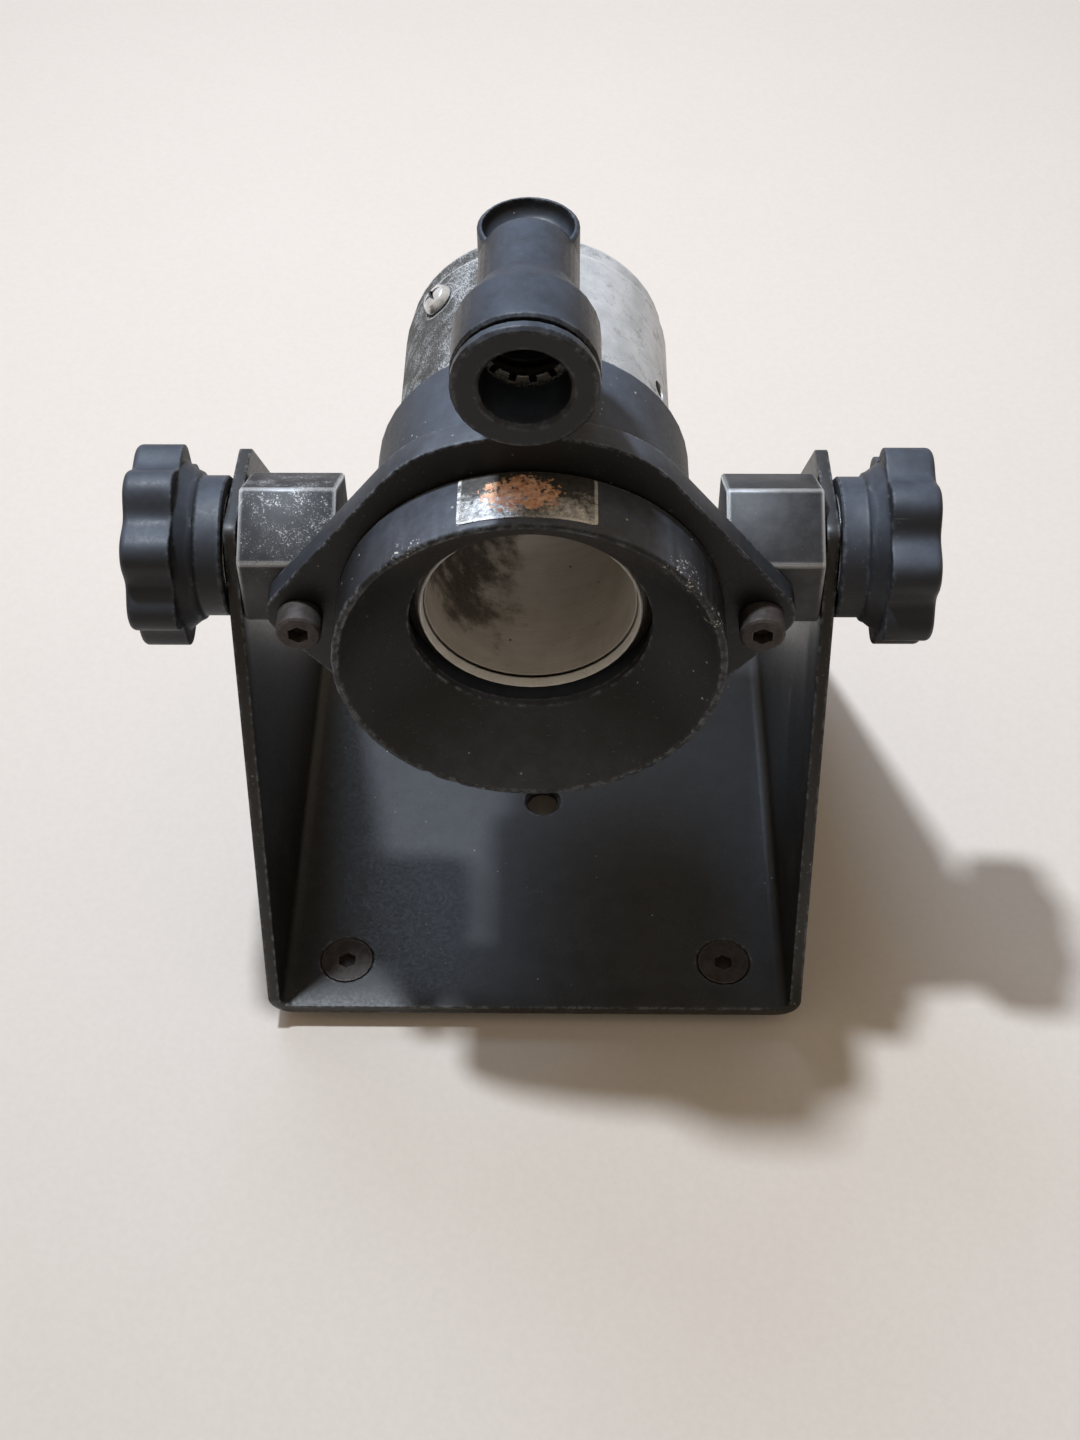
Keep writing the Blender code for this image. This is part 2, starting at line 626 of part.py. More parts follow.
def make_knob(side, word, head, spin_degrees):
    """A lobed knob with its hub, its steel stud, and the washer against the bracket."""
    axis = empty(f"knob_{word}_axis", outward(side), head)
    washer_start = BASE_WIDTH / 2 + 0.0002
    hub_start = BASE_WIDTH / 2 + GAP
    head_start = hub_start + HUB_LENGTH
    knob_end = head_start + KNOB_THICKNESS
    washer = ring_profile(STUD_RADIUS + GAP, WASHER_RADIUS, WASHER_THICKNESS, 0.0)
    turned(f"knob_washer_{word}", washer, BRIGHT_STEEL, axis, shift(z=washer_start), SMALL_STEPS)
    mesh = plate_mesh(f"knob_{word}", [knob_outline()], KNOB_THICKNESS)
    middle = shift(z=(head_start + knob_end) / 2) @ turn(spin_degrees, "Z")
    knob = add_piece(f"knob_{word}", mesh, KNOB_PLASTIC, axis, middle)
    bevel(knob, 0.0010, 2, 60)
    rim = KNOB_RADIUS + 0.002
    envelope = [(0.0, knob_end + 0.001), (rim, knob_end + 0.001), (rim, head_start + KNOB_TAPER),
                (KNOB_TAPER_RADIUS, head_start + KNOB_TAPER), (HUB_RADIUS + 0.0004, head_start),
                (0.0, head_start)]
    combine(knob, turned_tool(f"taper_{word}", envelope, axis), "INTERSECT")
    hub = cone_mesh(f"hub_{word}", HUB_RADIUS, HUB_RADIUS, HUB_LENGTH + 0.002, MEDIUM_STEPS)
    combine(knob, add_tool(f"hub_{word}", hub, axis, shift(z=hub_start)), "UNION")
    drill(knob, f"washer_pocket_{word}", WASHER_RADIUS + GAP, WASHER_THICKNESS + 0.0012, axis,
          shift(z=hub_start - 0.001), MEDIUM_STEPS)
    stud_end = knob_end - 0.004
    drill(knob, f"knob_bore_{word}", STUD_RADIUS + GAP, stud_end + GAP - hub_start + 0.001, axis,
          shift(z=hub_start - 0.001))
    turned(f"knob_stud_{word}", rod_profile(STUD_RADIUS, stud_end, STUD_TIP_X), BRIGHT_STEEL, axis, Matrix(),
           SMALL_STEPS)


# ---------------------------------------------------------------- elbow

def make_stem(head):
    """The brass stem: thread in the port, hexagon on its seal, journal inside the elbow."""
    frame = port_frame()
    washer_top = SEAT_HEIGHT + GAP + 0.0008
    hex_bottom = washer_top + 0.0002
    hex_top = 0.0300
    journal = 0.0046
    air = 0.0032
    shoulder = hex_top - 0.0005
    body = [(journal, 0.0405), (journal, 0.0360), (0.0037, 0.0360), (0.0037, 0.0346), (journal, 0.0346),
            (journal, shoulder), (0.0061, shoulder), (0.0061, 0.0212), (air, 0.0212), (air, 0.0405)]
    obj = turned("elbow_stem", body, BRASS, head, frame, SMALL_STEPS)
    hexagon = cone_mesh("stem_hexagon", hex_radius(0.017), hex_radius(0.017), hex_top - hex_bottom, 6)
    combine(obj, add_tool("stem_hexagon", hexagon, head, frame @ shift(z=hex_bottom)), "UNION")
    drill(obj, "stem_air", air, 0.03, head, frame @ shift(z=0.015), SMALL_STEPS)
    seal = ring_profile(0.0066, 0.0094, washer_top, SEAT_HEIGHT + GAP)
    turned("stem_seal", seal, RUBBER, head, frame, MEDIUM_STEPS)
    turned("stem_o_ring", torus_profile(0.0043, 0.00035, 0.0353), RUBBER, head, frame, SMALL_STEPS)


def leg_bore_profile():
    """The stepped bore that takes the collar, the grab ring, the seal and the hose."""
    face = SOCKET_FRONT - 0.0002
    hose = HOSE_RADIUS + 0.00015
    return [(0.0, face + 0.002), (0.0077, face + 0.002), (0.0077, 0.0225), (0.0085, 0.0225),
            (0.0085, 0.0205), (0.0077, 0.0205), (0.0077, 0.0175), (hose, 0.0175), (hose, 0.0120),
            (0.0045, 0.0120), (0.0045, 0.0050), (0.0030, 0.0050), (0.0030, 0.0025), (0.0, 0.0025)]


def make_elbow(head):
    """The elbow turns on its stem. Its leg's stations are counted forward from the stem.

    The upright ends in a bowl, and the leg's barrel starts in it and stands above its rim.
    """
    pivot = empty("elbow_pivot", port_frame(), head)
    bottom = 0.0303
    floor = ELBOW_TOP - 0.0026
    upright = [(0.0, floor), (0.0046, floor), (0.0057, floor + 0.0006), (0.0063, floor + 0.0016),
               (0.0065, ELBOW_TOP), (ELBOW_RADIUS - 0.0004, ELBOW_TOP), (ELBOW_RADIUS, ELBOW_TOP - 0.0004),
               (ELBOW_RADIUS, bottom), (0.0, bottom)]
    obj = turned("elbow_body", upright, BLACK_PLASTIC, pivot, Matrix(), MEDIUM_STEPS)
    forward = shift(z=LEG_HEIGHT) @ turn(90, "X")
    face = SOCKET_FRONT - 0.0002
    leg = [(0.0, face), (SOCKET_RADIUS - 0.0004, face), (SOCKET_RADIUS, face - 0.0004),
           (SOCKET_RADIUS, 0.0200), (SOCKET_RADIUS - 0.0004, 0.0188), (ELBOW_BARREL_RADIUS + 0.0004, 0.0142),
           (ELBOW_BARREL_RADIUS, 0.0130), (ELBOW_BARREL_RADIUS, 0.0040), (0.0067, 0.0028), (0.0060, 0.0018),
           (0.0048, 0.0011), (0.0, 0.0009)]
    combine(obj, turned_tool("elbow_leg", leg, pivot, forward), "UNION")
    combine(obj, turned_tool("elbow_leg_bore", leg_bore_profile(), pivot, forward, 32))
    drill(obj, "elbow_air", 0.0045, 0.015, pivot, shift(z=0.0340), 32)
    drill(obj, "elbow_journal_bore", 0.0046 + GAP, 0.0117, pivot, shift(z=bottom - 0.001), 32)
    turned("tube_o_ring", torus_profile(0.00695, 0.0006, 0.0190), RUBBER, pivot, forward, SMALL_STEPS)
    make_grab_ring(pivot, forward)
    make_release_collar(pivot, forward, face)


def make_grab_ring(pivot, forward):
    """A thin steel ring whose teeth bite the hose."""
    teeth = 14
    outer = arc((0.0, 0.0), 0.0081, 0, 360, 28)[:-1]
    inner = []
    for i in range(teeth):
        start = 360 * i / teeth
        pitch = 360 / teeth
        inner += arc((0.0, 0.0), 0.0059, start, start + pitch * 0.6, 2)
        inner += arc((0.0, 0.0), 0.0071, start + pitch * 0.65, start + pitch * 0.95, 1)
    mesh = plate_mesh("grab_ring", [outer, inner], 0.0003)
    return add_piece("grab_ring", mesh, BRIGHT_STEEL, pivot, forward @ shift(z=0.0212))


def make_release_collar(pivot, forward, face):
    """The push ring round the hose. Its stroke is the gap behind its flange."""
    back = face + RELEASE_TRAVEL + 0.0002
    front = back + 0.0015
    nose = 0.0234
    inner = HOSE_RADIUS + 0.0001
    profile = [(SOCKET_RADIUS - 0.0006, front), (SOCKET_RADIUS - 0.0001, front - 0.0005),
               (SOCKET_RADIUS - 0.0001, back), (0.0074, back), (0.0074, nose), (inner, nose),
               (inner, front - 0.0005), (inner + 0.0005, front)]
    return turned("release_collar", profile, BLACK_PLASTIC, pivot, forward, MEDIUM_STEPS)


# ---------------------------------------------------------------- assembly

def build():
    make_bracket()
    make_feet_and_screws()
    head = empty("head_pivot", shift(y=TRUNNION_Y, z=TRUNNION_Z) @ turn(90, "X"))
    turned("mouth_ring", mouth_profile(), BLACK_ANODISED, head, Matrix(), LARGE_STEPS)
    make_flange(head)
    make_housing(head)
    make_bore_pieces(head)
    make_rear(head)
    make_label(head)
    for side, word, spin_degrees in ((-1, "left", -7), (1, "right", 18)):
        make_trunnion(side, word, head)
        make_ear_screw(side, word, head)
        make_knob(side, word, head, spin_degrees)
    make_stem(head)
    make_elbow(head)


build()
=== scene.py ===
"""Looks of the compressed-air amplifier head on its tilting bracket.

Metres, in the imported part's frame: +Z up, the mouth towards -Y, the trunnions along X. Pieces
keep their vertices in that frame, so Object coordinates are places on the object at rest.
"""

import json
import math
import random

import bmesh
import bpy
from mathutils import Matrix, Vector, noise


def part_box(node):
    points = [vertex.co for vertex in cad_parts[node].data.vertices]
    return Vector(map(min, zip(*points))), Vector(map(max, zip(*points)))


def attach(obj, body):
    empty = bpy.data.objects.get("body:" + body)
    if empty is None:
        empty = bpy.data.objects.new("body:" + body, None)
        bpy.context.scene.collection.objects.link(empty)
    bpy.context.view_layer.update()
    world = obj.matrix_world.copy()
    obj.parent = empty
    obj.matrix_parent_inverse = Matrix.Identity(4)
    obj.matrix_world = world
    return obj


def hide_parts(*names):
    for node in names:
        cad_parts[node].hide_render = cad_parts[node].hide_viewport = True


MM = 0.001

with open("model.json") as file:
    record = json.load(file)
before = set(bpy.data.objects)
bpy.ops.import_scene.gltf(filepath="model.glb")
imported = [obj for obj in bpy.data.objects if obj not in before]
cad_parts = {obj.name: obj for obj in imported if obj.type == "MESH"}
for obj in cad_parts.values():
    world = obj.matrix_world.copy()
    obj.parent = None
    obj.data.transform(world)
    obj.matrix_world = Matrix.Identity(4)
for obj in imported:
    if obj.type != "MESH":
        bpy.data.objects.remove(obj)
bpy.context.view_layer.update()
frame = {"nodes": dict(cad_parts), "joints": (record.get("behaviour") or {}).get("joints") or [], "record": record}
NODES = frame["nodes"]
JOINTS = {joint["name"]: joint for joint in frame["joints"]}
BODIES = frame["record"]["behaviour"]["bodies"]
BODY_OF = {node: body for body, members in BODIES.items() for node in members}
TILT = Vector(JOINTS["head_tilt"]["pos_m"])
# Head frame: local Z runs forward out of the mouth, local Y up, from the tilt axis.
HEAD = Matrix.Translation(TILT) @ Matrix.Rotation(math.radians(90), 4, "X")

CAMERA_PLACE = (0.00567, -0.23043, 0.29173)
CAMERA_PITCH = math.radians(48.77)
CAMERA_YAW = math.radians(-1.25)
CAMERA_ROLL = math.radians(0.71)
# Focal length and sensor in the units of lenses, millimetres.
FOCAL_LENGTH = 47.5
SENSOR_WIDTH = 27.0
SENSOR_HEIGHT = 36.0
ROOM_COLOR = (1.0, 0.83, 0.63, 1.0)
ROOM_STRENGTH = 0.40
FLOOR_SIZE = 6.0

KNOB_LOBES = 8
KNOB_STEPS = 192
RING_STEPS = 360
ARC_STEPS = 5
SMOOTH_ANGLE = 35
KNOB_SMOOTH_ANGLE = 40

LINT = (0.42, 0.41, 0.39)
BARE_METAL = (0.62, 0.61, 0.58)
BRIGHT_METAL = (0.90, 0.91, 0.92)
# Bluish dust colours, which also paint the cool sheen that the upward faces of the blacks show.
BLUE_DUST_AND_SHEEN = (0.120, 0.135, 0.175)
BLUER_DUST_AND_SHEEN = (0.105, 0.130, 0.180)
SOOT = (0.0075, 0.0078, 0.0088)
PALER_SOOT = (0.011, 0.0115, 0.013)


# ---------------------------------------------------------------- camera and light

def make_camera():
    """Stands in front of the mouth and looks steeply down on it."""
    ahead = math.cos(CAMERA_PITCH)
    forward = Vector((math.sin(CAMERA_YAW) * ahead, math.cos(CAMERA_YAW) * ahead,
                      -math.sin(CAMERA_PITCH)))
    level = Vector((math.cos(CAMERA_YAW), -math.sin(CAMERA_YAW), 0.0))
    down = forward.cross(level)
    right = level * math.cos(CAMERA_ROLL) + down * math.sin(CAMERA_ROLL)
    lower = -level * math.sin(CAMERA_ROLL) + down * math.cos(CAMERA_ROLL)
    data = bpy.data.cameras.new("camera")
    data.sensor_fit = "VERTICAL"
    data.sensor_height = SENSOR_HEIGHT
    data.sensor_width = SENSOR_WIDTH
    data.lens = FOCAL_LENGTH
    data.clip_start = 0.01
    data.clip_end = 10.0
    camera = bpy.data.objects.new("camera", data)
    bpy.context.scene.collection.objects.link(camera)
    turn = Matrix((right, -lower, -forward)).transposed().to_4x4()
    camera.matrix_world = Matrix.Translation(CAMERA_PLACE) @ turn
    bpy.context.scene.camera = camera


def area_light(name, place, aim, size, power, color):
    """A round lamp, its size in metres and its power in watts, turned towards aim."""
    data = bpy.data.lights.new(name, "AREA")
    data.shape = "DISK"
    data.size = size
    data.energy = power
    data.color = color
    light = bpy.data.objects.new(name, data)
    bpy.context.scene.collection.objects.link(light)
    light.location = place
    light.rotation_euler = (Vector(aim) - Vector(place)).to_track_quat("-Z", "Y").to_euler()


def make_light():
    """A lamp over the left rear, a weak cool window far behind, and a warm room."""
    area_light("key", place=(-0.14, 0.075, 0.62), aim=(0.34, 0.40, 0.0), size=0.045, power=5.0,
               color=(0.86, 0.93, 1.0))
    area_light("window", place=(-0.40, 0.85, 1.30), aim=(0, 0, 0.05), size=0.60, power=7.0,
               color=(0.60, 0.76, 1.0))
    world = bpy.data.worlds.new("room")
    bpy.context.scene.world = world
    world.use_nodes = True
    background = world.node_tree.nodes["Background"]
    background.inputs["Color"].default_value = ROOM_COLOR
    background.inputs["Strength"].default_value = ROOM_STRENGTH
    bpy.context.scene.view_settings.view_transform = "Standard"


def make_floor():
    """Pale paper with a faint grain."""
    bpy.ops.mesh.primitive_plane_add(size=FLOOR_SIZE, location=(0, 0, 0))
    floor = bpy.context.object
    floor.name = "floor"
    finish = Finish("pale_paper", roughness=0.85, specular=0.2)
    mottle = finish.noise(60 * MM, detail=5, roughness=0.6)
    grain = finish.noise(1.2 * MM, detail=3, roughness=0.6, seed=2.0)
    paper = finish.blend(mottle, (0.615, 0.565, 0.525), (0.640, 0.590, 0.550))
    fibres = finish.band(grain, 0.3, 0.7, 0.0, 0.10)
    finish.paint(finish.blend(fibres, paper, (0.42, 0.38, 0.34)))
    floor.data.materials.append(finish.material)


# ---------------------------------------------------------------- shader building

class Finish:
    """A Principled material and the nodes that drive it. Sizes are in metres."""

    def __init__(self, name, roughness=0.5, metallic=0.0, specular=0.5):
        self.material = bpy.data.materials.new(name)
        self.material.use_nodes = True
        self.tree = self.material.node_tree
        self.shader = self.tree.nodes["Principled BSDF"]
        self.shader.inputs["Roughness"].default_value = roughness
        self.shader.inputs["Metallic"].default_value = metallic
        self.shader.inputs["Specular IOR Level"].default_value = specular
        coordinates = self.node("ShaderNodeTexCoord")
        self.place = coordinates.outputs["Object"]
        self.facing = coordinates.outputs["Normal"]

    def node(self, kind, inputs=None, **settings):
        """A new node: inputs are sockets to link or values to set, settings its properties."""
        made = self.tree.nodes.new(kind)
        for key, value in settings.items():
            setattr(made, key, value)
        for key, value in (inputs or {}).items():
            if isinstance(value, bpy.types.NodeSocket):
                self.tree.links.new(value, made.inputs[key])
            elif isinstance(value, tuple) and len(value) == 3 and made.inputs[key].type == "RGBA":
                made.inputs[key].default_value = (*value, 1.0)
            else:
                made.inputs[key].default_value = value
        return made

    def math(self, operation, a, b=0.0):
        return self.node("ShaderNodeMath", {0: a, 1: b}, operation=operation).outputs[0]

    def times(self, *factors):
        total = factors[0]
        for factor in factors[1:]:
            total = self.math("MULTIPLY", total, factor)
        return total

    def plus(self, a, b):
        return self.math("ADD", a, b)

    def invert(self, a):
        return self.math("SUBTRACT", 1.0, a)

    def band(self, value, low, high, to_low=0.0, to_high=1.0):
        """Smoothly from one value to another as the input goes from low to high."""
        inputs = {"Value": value, "From Min": low, "From Max": high,
                  "To Min": to_low, "To Max": to_high}
        made = self.node("ShaderNodeMapRange", inputs, interpolation_type="SMOOTHSTEP")
        return made.outputs["Result"]

    def blend(self, share, a, b):
        """Colour a where share is 0, colour b where it is 1."""
        made = self.node("ShaderNodeMix", data_type="RGBA", clamp_factor=True)
        # The mix node's colour sockets share their names, so they are reached by number.
        sockets = (made.inputs[0], made.inputs[6], made.inputs[7])
        for socket, value in zip(sockets, (share, a, b)):
            if isinstance(value, bpy.types.NodeSocket):
                self.tree.links.new(value, socket)
            elif isinstance(value, tuple):
                socket.default_value = (*value, 1.0)
            else:
                socket.default_value = value
        return made.outputs[2]

    def stretched(self, stretch, shift=(0, 0, 0)):
        inputs = {"Vector": self.place, "Location": shift, "Scale": stretch}
        return self.node("ShaderNodeMapping", inputs).outputs["Vector"]

    def noise(self, size, detail=3.0, roughness=0.55, vector=None, distortion=0.0, seed=0.0):
        inputs = {"Scale": 1.0 / size, "Detail": detail, "Roughness": roughness,
                  "Distortion": distortion, "W": seed, "Vector": vector or self.place}
        return self.node("ShaderNodeTexNoise", inputs, noise_dimensions="4D").outputs["Fac"]

    def dots(self, size, radius, seed):
        """Round specks: 1 inside a speck, 0 outside. Radius is a share of the cell."""
        inputs = {"Scale": 1.0 / size, "Randomness": 1.0, "W": seed, "Vector": self.place}
        made = self.node("ShaderNodeTexVoronoi", inputs, voronoi_dimensions="4D")
        return self.band(made.outputs["Distance"], radius, radius * 0.6)

    def scratches(self, length, width, along, seed=0.0, rarity=0.70):
        """Thin lines along one axis of the object, where along is X, Y or Z."""
        stretch = [1.0 / width] * 3
        stretch["XYZ".index(along)] = 1.0 / length
        vector = self.stretched(tuple(stretch), shift=(seed, seed * 2.3, seed * 3.7))
        lines = self.noise(1.0, detail=1.5, roughness=0.5, vector=vector)
        return self.band(lines, rarity, rarity + 0.05)

    def rounded(self, radius):
        """The normals that the shape would have with its edges rounded."""
        return self.node("ShaderNodeBevel", {"Radius": radius}, samples=4).outputs["Normal"]

    def edges(self, radius, low=0.02, high=0.22):
        """1 on the sharp edges of the shape."""
        round_normal = self.rounded(radius)
        flat_normal = self.node("ShaderNodeNewGeometry").outputs["Normal"]
        inputs = {0: round_normal, 1: flat_normal}
        alike = self.node("ShaderNodeVectorMath", inputs, operation="DOT_PRODUCT").outputs["Value"]
        return self.band(self.invert(alike), low, high)

    def corners(self, distance):
        """1 deep in hollows and beside other pieces, where the finishes paint shade."""
        made = self.node("ShaderNodeAmbientOcclusion", {"Distance": distance}, samples=4)
        return self.band(made.outputs["AO"], 0.85, 0.35)

    def upward(self, low, high):
        """1 on faces that look up, where dust settles and where the painted sheen goes."""
        split = self.node("ShaderNodeSeparateXYZ", {"Vector": self.facing})
        return self.band(split.outputs["Z"], low, high)

    def near(self, centre, radius):
        """1 near a place on the object, 0 beyond the radius."""
        inputs = {0: self.place, 1: tuple(centre)}
        away = self.node("ShaderNodeVectorMath", inputs, operation="DISTANCE")
        return self.band(away.outputs["Value"], radius, radius * 0.5)

    def axis(self, letter):
        """The place along the frame's X, Y or Z, in metres."""
        return self.node("ShaderNodeSeparateXYZ", {"Vector": self.place}).outputs[letter]

    def paint(self, color):
        self.tree.links.new(color, self.shader.inputs["Base Color"])

    def gloss(self, value):
        self.tree.links.new(value, self.shader.inputs["Roughness"])

    def metal(self, value):
        self.tree.links.new(value, self.shader.inputs["Metallic"])

    def relief(self, height, depth, round_edges=0.0):
        """Bump of a real depth, over edges that look rounded by the given radius."""
        inputs = {"Height": height, "Distance": depth, "Strength": 1.0}
        if round_edges:
            inputs["Normal"] = self.rounded(round_edges)
        made = self.node("ShaderNodeBump", inputs)
        self.tree.links.new(made.outputs["Normal"], self.shader.inputs["Normal"])


def worn_black(name, color, tint, roughness, edge_wear_and_highlight, dust, lines, speck, dust_and_sheen_color, grain=0.02,
               specular=0.4, knocks=()):
    """A handled black part: dust and a painted cool sheen on top, scratches, lint specks, pale edges.

    color and tint are its two blacks, and lines is the axis of its scratches and their rarity.
    knocks are places, with a reach each, where the colour is chipped down to bare metal.
    """
    worn = (0.20, 0.225, 0.26)
    f = Finish(name, roughness, specular=specular)
    cloud = f.noise(14 * MM, detail=5, roughness=0.6)
    fine = f.noise(0.7 * MM, detail=4, roughness=0.7, seed=3.0)
    base = f.blend(f.band(cloud, 0.36, 0.66), color, tint)
    uneven = f.band(f.noise(4 * MM, 5, 0.7, seed=7.0), 0.30, 0.72, 0.55, 1.0)
    # Faces that look up take the bluish colour: real dust mixed with a painted reflection of the cool window.
    dust_and_sheen_on_top = f.times(f.upward(0.35, 1.0), uneven, dust)
    base = f.blend(dust_and_sheen_on_top, base, dust_and_sheen_color)
    grit = f.times(f.band(fine, 0.60, 0.74), f.band(cloud, 0.35, 0.6), dust)
    base = f.blend(grit, base, dust_and_sheen_color)
    axis, rarity = lines
    marks = f.times(f.scratches(11 * MM, 0.14 * MM, axis, seed=1.3, rarity=rarity),
                    f.band(f.noise(6 * MM, 2, seed=11.0), 0.46, 0.60))
    base = f.blend(f.times(marks, 0.6), base, worn)
    specks = f.times(f.dots(1.4 * MM, speck, seed=2.0),
                     f.band(f.noise(7 * MM, 2, seed=5.0), 0.50, 0.62))
    base = f.blend(f.times(specks, 0.8), base, LINT)
    # Pale edges: partly wear, partly a painted highlight where the rounded edges catch the light.
    rub = f.times(f.edges(0.9 * MM, 0.006, 0.07),
                  f.band(f.noise(1.6 * MM, 4, 0.75, seed=9.0), 0.44, 0.62), edge_wear_and_highlight)
    base = f.blend(rub, base, worn)
    for centre, radius in knocks:
        ragged = f.band(f.noise(0.6 * MM, 4, 0.75, seed=13.0), 0.57, 0.62)
        chipped = f.times(f.near(centre, radius), ragged)
        base = f.blend(f.times(chipped, 0.85), base, BARE_METAL)
    f.paint(base)
    uneven_gloss = f.band(fine, 0.3, 0.7, roughness - 0.05, roughness + 0.07)
    f.gloss(f.plus(uneven_gloss, f.times(f.plus(dust_and_sheen_on_top, rub), 0.12)))
    f.relief(f.plus(fine, f.times(marks, -1.2)), grain * MM, 0.3 * MM)
    return f.material


# ---------------------------------------------------------------- the finishes

def sleeve_metal():
    """Dusty cast aluminium: pale grey, with fine black grime towards the left and in patches."""
    f = Finish("dusty_aluminium", 0.5, 0.35)
    cloud = f.noise(6 * MM, 5, 0.6)
    base = f.blend(f.band(cloud, 0.35, 0.65), (0.47, 0.495, 0.535), (0.62, 0.645, 0.69))
    left = f.band(f.axis("X"), 0.012, -0.018)
    patches = f.noise(5 * MM, 4, 0.65, seed=8.0)
    amount = f.plus(f.times(left, 0.20), f.times(f.band(patches, 0.40, 0.66), 0.10))
    haze = f.band(f.plus(f.noise(2.2 * MM, 6, 0.8, seed=4.0), amount), 0.54, 0.80)
    base = f.blend(f.times(haze, 0.75), base, (0.13, 0.128, 0.125))
    grime = f.noise(0.28 * MM, 4, 0.8, seed=5.0)
    dirty = f.band(f.plus(grime, f.times(amount, 1.0)), 0.63, 0.74)
    base = f.blend(f.times(dirty, 0.9), base, (0.035, 0.034, 0.032))
    # Painted shade: darker in hollows and beside other pieces.
    base = f.blend(f.times(f.corners(3 * MM), 0.8), base, (0.05, 0.048, 0.045))
    scuff = f.times(f.scratches(9 * MM, 0.12 * MM, "X", seed=3.0, rarity=0.66),
                    f.band(f.noise(5 * MM, 2, seed=12.0), 0.44, 0.60))
    base = f.blend(f.times(scuff, 0.7), base, BRIGHT_METAL)
    base = f.blend(f.times(f.edges(0.8 * MM, 0.01, 0.08), 0.7), base, BRIGHT_METAL)
    f.paint(base)
    f.gloss(f.band(f.plus(haze, f.times(cloud, 0.6)), 0.2, 1.0, 0.42, 0.70))
    f.relief(f.plus(grime, f.times(haze, 0.7)), 0.02 * MM, 0.3 * MM)
    return f.material


def bore_metal():
    """Dull turned aluminium with soft brown-black patches, thickest towards the left and deeper in the bore."""
    f = Finish("bore_aluminium", 0.5, 0.45)
    rings = f.noise(1.0, 2, 0.6, vector=f.stretched((60, 5000, 60)))
    base = f.blend(f.band(rings, 0.4, 0.6), (0.60, 0.575, 0.545), (0.67, 0.645, 0.615))
    haze = f.band(f.noise(6 * MM, 4, 0.6, seed=2.0), 0.40, 0.66)
    base = f.blend(f.times(haze, 0.5), base, (0.50, 0.470, 0.435))
    # Darker patches, more of them towards the left and deeper in the bore.
    left = f.band(f.axis("X"), 0.003, -0.012)
    deep = f.times(left, f.band(f.axis("Y"), TILT.y - 12 * MM, TILT.y + 2 * MM))
    dark_patches = f.band(f.plus(f.noise(4.5 * MM, 6, 0.62, seed=6.0), f.times(deep, 0.36)), 0.58, 0.86)
    base = f.blend(f.times(dark_patches, 0.85), base, (0.060, 0.050, 0.040))
    fine = f.band(f.plus(f.noise(0.4 * MM, 4, 0.8, seed=9.0), f.times(deep, 0.15)), 0.66, 0.74)
    base = f.blend(f.times(fine, 0.8), base, (0.05, 0.044, 0.038))
    flecks = f.dots(2.4 * MM, 0.12, seed=1.0)
    base = f.blend(f.times(flecks, 0.85), base, (0.03, 0.027, 0.024))
    f.paint(base)
    f.gloss(f.band(f.plus(dark_patches, f.times(rings, 0.3)), 0, 1, 0.42, 0.7))
    f.relief(f.plus(f.times(rings, 0.5), dark_patches), 0.015 * MM, 0.2 * MM)
    return f.material


def lip_metal():
    """The nozzle's bright lip, with black specks and pits in it."""
    f = Finish("lip_aluminium", 0.35, 0.2)
    patch = f.noise(2.2 * MM, 4, 0.7)
    base = f.blend(f.band(patch, 0.35, 0.62), (0.86, 0.855, 0.84), (0.97, 0.97, 0.96))
    grime = f.band(f.noise(0.30 * MM, 4, 0.75, seed=5.0), 0.61, 0.70)
    base = f.blend(f.times(grime, 0.85), base, (0.07, 0.065, 0.058))
    # The rear of the lip, down in the groove round it, is near black with pale fibres.
    deep = f.band(f.axis("Y"), TILT.y - 13.2 * MM, TILT.y - 12.7 * MM)
    fibres = f.band(f.noise(0.35 * MM, 4, 0.8, seed=7.0), 0.58, 0.66)
    base = f.blend(deep, base, f.blend(fibres, (0.030, 0.027, 0.024), (0.30, 0.28, 0.25)))
    f.paint(base)
    f.metal(f.times(f.invert(deep), 0.25))
    f.gloss(f.band(f.plus(patch, grime), 0.3, 1.2, 0.30, 0.65))
    f.relief(f.plus(patch, f.times(grime, -0.8)), 0.02 * MM, 0.2 * MM)
    return f.material


def trunnion_steel(name, grit):
    """Dark block, its top edge a painted highlight over wear; grit is how far pale specks thicken at the top."""
    f = Finish(name, 0.5, 0.2)
    cloud = f.noise(4 * MM, 5, 0.65)
    base = f.blend(f.band(cloud, 0.35, 0.65), (0.022, 0.0235, 0.029), (0.042, 0.044, 0.051))
    fine = f.noise(0.28 * MM, 4, 0.8, seed=3.0)
    # Pale specks, thicker on the upper faces, so that the block is paler towards the top.
    high = f.band(f.axis("Z"), 0.084, 0.0965)
    pale_specks = f.band(f.plus(fine, f.times(high, f.band(cloud, 0.3, 0.6), grit)), 0.66, 0.74)
    base = f.blend(f.times(pale_specks, 0.9), base, (0.55, 0.56, 0.58))
    # Painted highlight over some wear: the edges turn near white, most of all along the top.
    rub = f.times(f.edges(0.9 * MM, 0.002, 0.016),
                  f.band(f.noise(0.9 * MM, 4, 0.7, seed=9.0), 0.22, 0.42))
    bright = f.times(rub, f.band(f.axis("Z"), 0.082, 0.090, 0.12, 1.0))
    base = f.blend(bright, base, (0.93, 0.94, 0.96))
    f.paint(base)
    f.metal(f.band(bright, 0, 1, 0.15, 0.4))
    f.gloss(f.band(f.plus(bright, f.times(pale_specks, -0.4)), -0.4, 1, 0.62, 0.34))
    f.relief(f.plus(fine, f.times(cloud, 2.0)), 0.02 * MM, 0.35 * MM)
    return f.material


